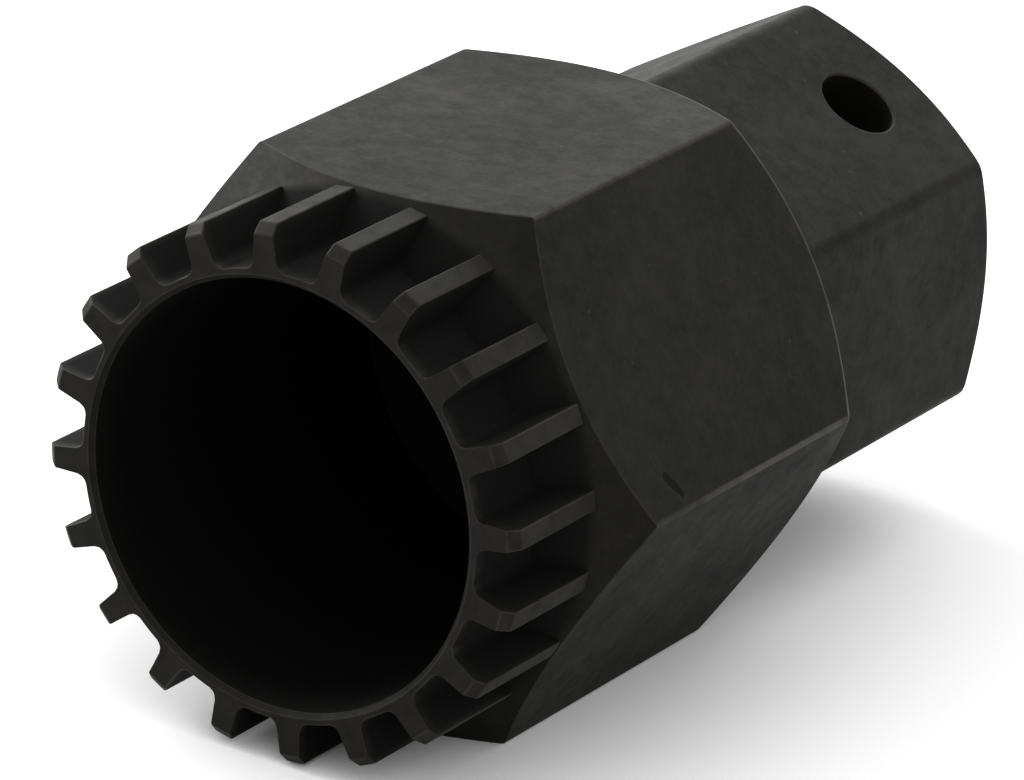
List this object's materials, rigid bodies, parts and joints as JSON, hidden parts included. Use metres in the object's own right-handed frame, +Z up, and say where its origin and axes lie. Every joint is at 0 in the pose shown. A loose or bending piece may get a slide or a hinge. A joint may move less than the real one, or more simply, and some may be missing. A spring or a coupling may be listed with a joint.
{
  "type": "bottom bracket tool",
  "caption": "One-piece steel tool with a ring of outward splines, a hexagonal body and a smaller hexagonal shank with a square drive socket.",
  "frame": {"origin": "centre of the spindle bore's mouth, on the front face of the splined ring", "axes": "+Y along the tool's axis from the ring to the shank, +Z up and square to one flat of the body, which the tool lies on"},
  "size_m": [0.037, 0.0569, 0.032],
  "materials": {
    "black_oxide_steel": "matte black oxide on machined steel"
  },
  "bodies": {
    "root": {"tool_body": "black_oxide_steel"}
  },
  "joints": []
}
